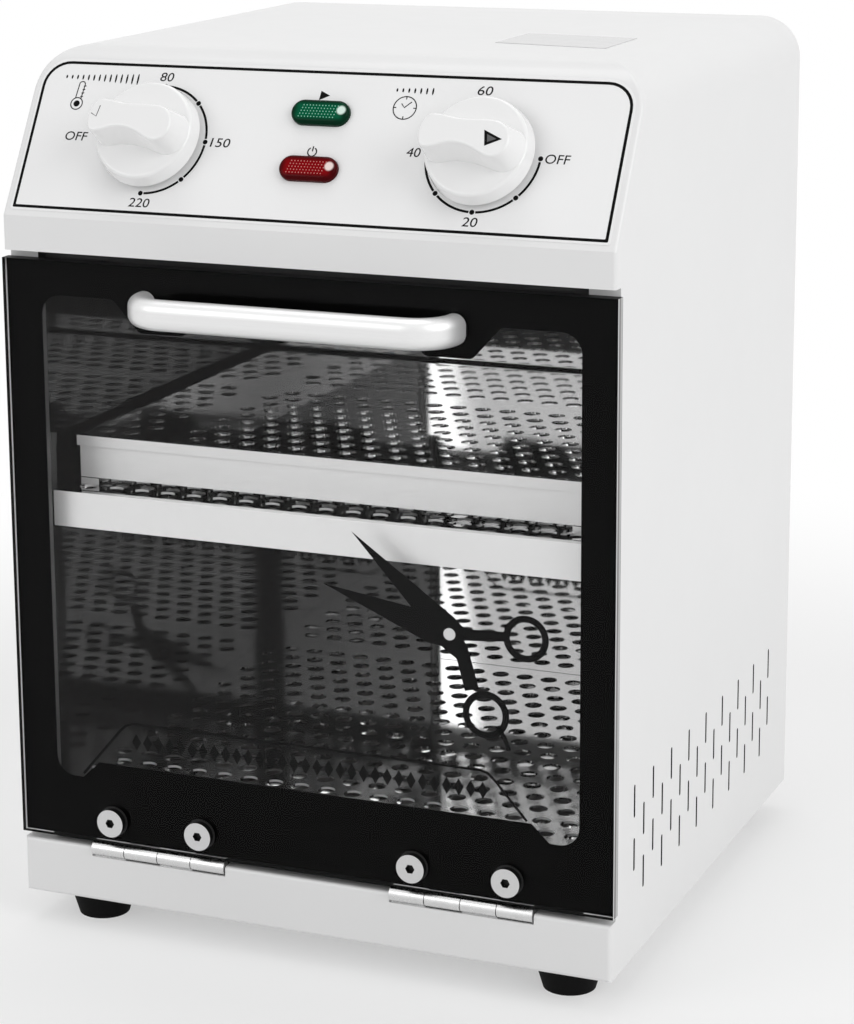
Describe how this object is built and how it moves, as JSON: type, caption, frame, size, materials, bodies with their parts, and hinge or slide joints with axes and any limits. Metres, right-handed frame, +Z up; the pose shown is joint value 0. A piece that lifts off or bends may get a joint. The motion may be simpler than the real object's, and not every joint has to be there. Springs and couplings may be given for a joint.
{
  "type": "dry heat sterilizer",
  "caption": "Bench-top hot air sterilizer: painted steel case with sloping control panel and knobs, bottom-hinged glass door, perforated shelf and sliding tray inside.",
  "frame": {"origin": "on the table under the middle of the case, which is the middle of the whole outline", "axes": "+Z up, +X to the right seen from the front, the door and panel face -Y"},
  "size_m": [0.2206, 0.245, 0.309],
  "materials": {
    "white_paint": "smooth white gloss paint",
    "stainless": "bright rolled stainless",
    "glass": "clear toughened glass",
    "black_print": "black fired-on border behind the glass",
    "satin_metal": "satin silver",
    "chrome": "bright plated",
    "zinc": "zinc plated",
    "black_rubber": "matte black rubber",
    "white_plastic": "glossy white",
    "green_lens": "clear green",
    "red_lens": "clear red",
    "black_plastic": "black moulding",
    "wool": "glass wool blanket",
    "heater_sheath": "dull metal sheath",
    "ceramic": "white ceramic",
    "brass": "plain brass",
    "magnet": "dark ferrite",
    "wire_cover": "glass fibre sleeve"
  },
  "bodies": {
    "case": {"side_and_top_wrap": "white_paint", "front_fascia": "white_paint", "base_pan": "white_paint", "rear_panel": "white_paint", "rear_panel_screws": "zinc", "cavity_liner": "stainless", "floor_plate": "stainless", "heating_element": "heater_sheath", "heater_cradles": "stainless", "heater_bushings": "ceramic", "heater_terminals": "brass", "insulation_wrap": "wool", "insulation_rear": "wool", "shelf_rail_left": "stainless", "shelf_rail_right": "stainless", "perforated_shelf": "stainless", "tray_runners": "stainless", "thermostat_bulb": "stainless", "bulb_clips": "stainless", "capillary_tube": "brass", "thermal_cutout": "zinc", "hinge_left_body_leaf": "chrome", "hinge_right_body_leaf": "chrome", "hinge_pins": "chrome", "door_magnets": "magnet", "thermostat_body": "zinc", "timer_body": "black_plastic", "timer_bell": "chrome", "panel_screws": "zinc", "green_lamp_lens": "green_lens", "green_lamp_body": "black_plastic", "red_lamp_lens": "red_lens", "red_lamp_body": "black_plastic", "terminal_block": "black_plastic", "earth_stud": "zinc", "cable_gland": "black_plastic", "wiring_harness": "wire_cover", "foot_front_left": "black_rubber", "foot_front_right": "black_rubber", "foot_rear_left": "black_rubber", "foot_rear_right": "black_rubber", "foot_screws": "zinc", "foot_nuts": "zinc"},
    "door": {"door_glass": "glass", "door_print": "black_print", "door_handle": "satin_metal", "handle_screws": "zinc", "handle_washers": "black_rubber", "hinge_screws": "chrome", "hinge_screw_washers": "black_rubber", "hinge_nuts": "zinc", "hinge_left_door_leaf": "chrome", "hinge_right_door_leaf": "chrome", "door_strikers": "zinc"},
    "temperature_dial": {"temperature_knob": "white_plastic", "temperature_shaft": "zinc"},
    "timer_dial": {"timer_knob": "white_plastic", "timer_shaft": "zinc"},
    "tray": {"tray_rim": "stainless", "tray_mesh": "stainless"}
  },
  "joints": [
    {"name": "door_hinge", "type": "hinge", "parent": "case", "child": "door", "pos_m": [0, -0.1035, 0.0308], "axis": [1, 0, 0], "range_deg": [0, 90]},
    {"name": "temperature_turn", "type": "hinge", "parent": "case", "child": "temperature_dial", "pos_m": [-0.0593, -0.08955, 0.28042], "axis": [0, 0.8572, -0.515], "range_deg": [0, 270]},
    {"name": "timer_turn", "type": "hinge", "parent": "case", "child": "timer_dial", "pos_m": [0.0593, -0.08955, 0.28042], "axis": [0, 0.8572, -0.515], "range_deg": [0, 270]},
    {"name": "tray_slide", "type": "slide", "parent": "case", "child": "tray", "axis": [0, -1, 0], "range_m": [0, 0.11]}
  ],
  "couplings": [
    {"joint": "tray_slide", "follows": "door_hinge", "m_per_rad": 0.07}
  ]
}
